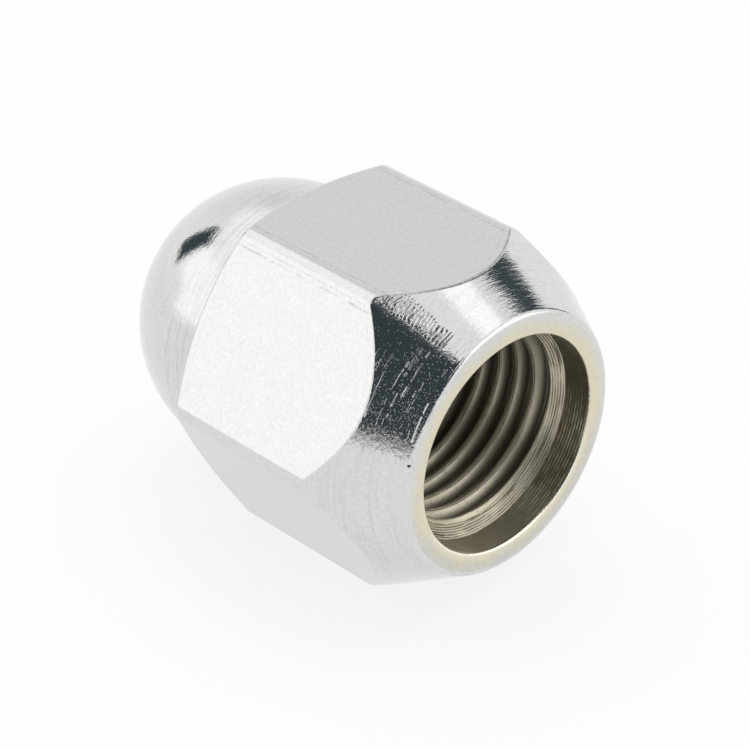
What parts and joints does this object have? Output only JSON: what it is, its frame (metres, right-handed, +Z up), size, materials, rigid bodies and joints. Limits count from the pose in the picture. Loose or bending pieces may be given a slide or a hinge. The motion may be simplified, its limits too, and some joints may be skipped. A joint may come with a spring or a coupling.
{
  "type": "lug nut",
  "caption": "Closed-end wheel nut with a conical seat, a wrench hexagon and a domed cap over a threaded blind hole.",
  "frame": {"origin": "on the floor under the middle of the nut, which lies on one flat of its hexagon", "axes": "+X along the thread axis out of the open mouth, with the domed end towards -X; +Z up, square to the flat the nut lies on; +Y across two corners of the hexagon"},
  "size_m": [0.0292, 0.024, 0.021],
  "materials": {
    "chrome_plate": "bright chrome plate over forged and turned steel"
  },
  "bodies": {
    "root": {"lug_nut": "chrome_plate"}
  },
  "joints": []
}
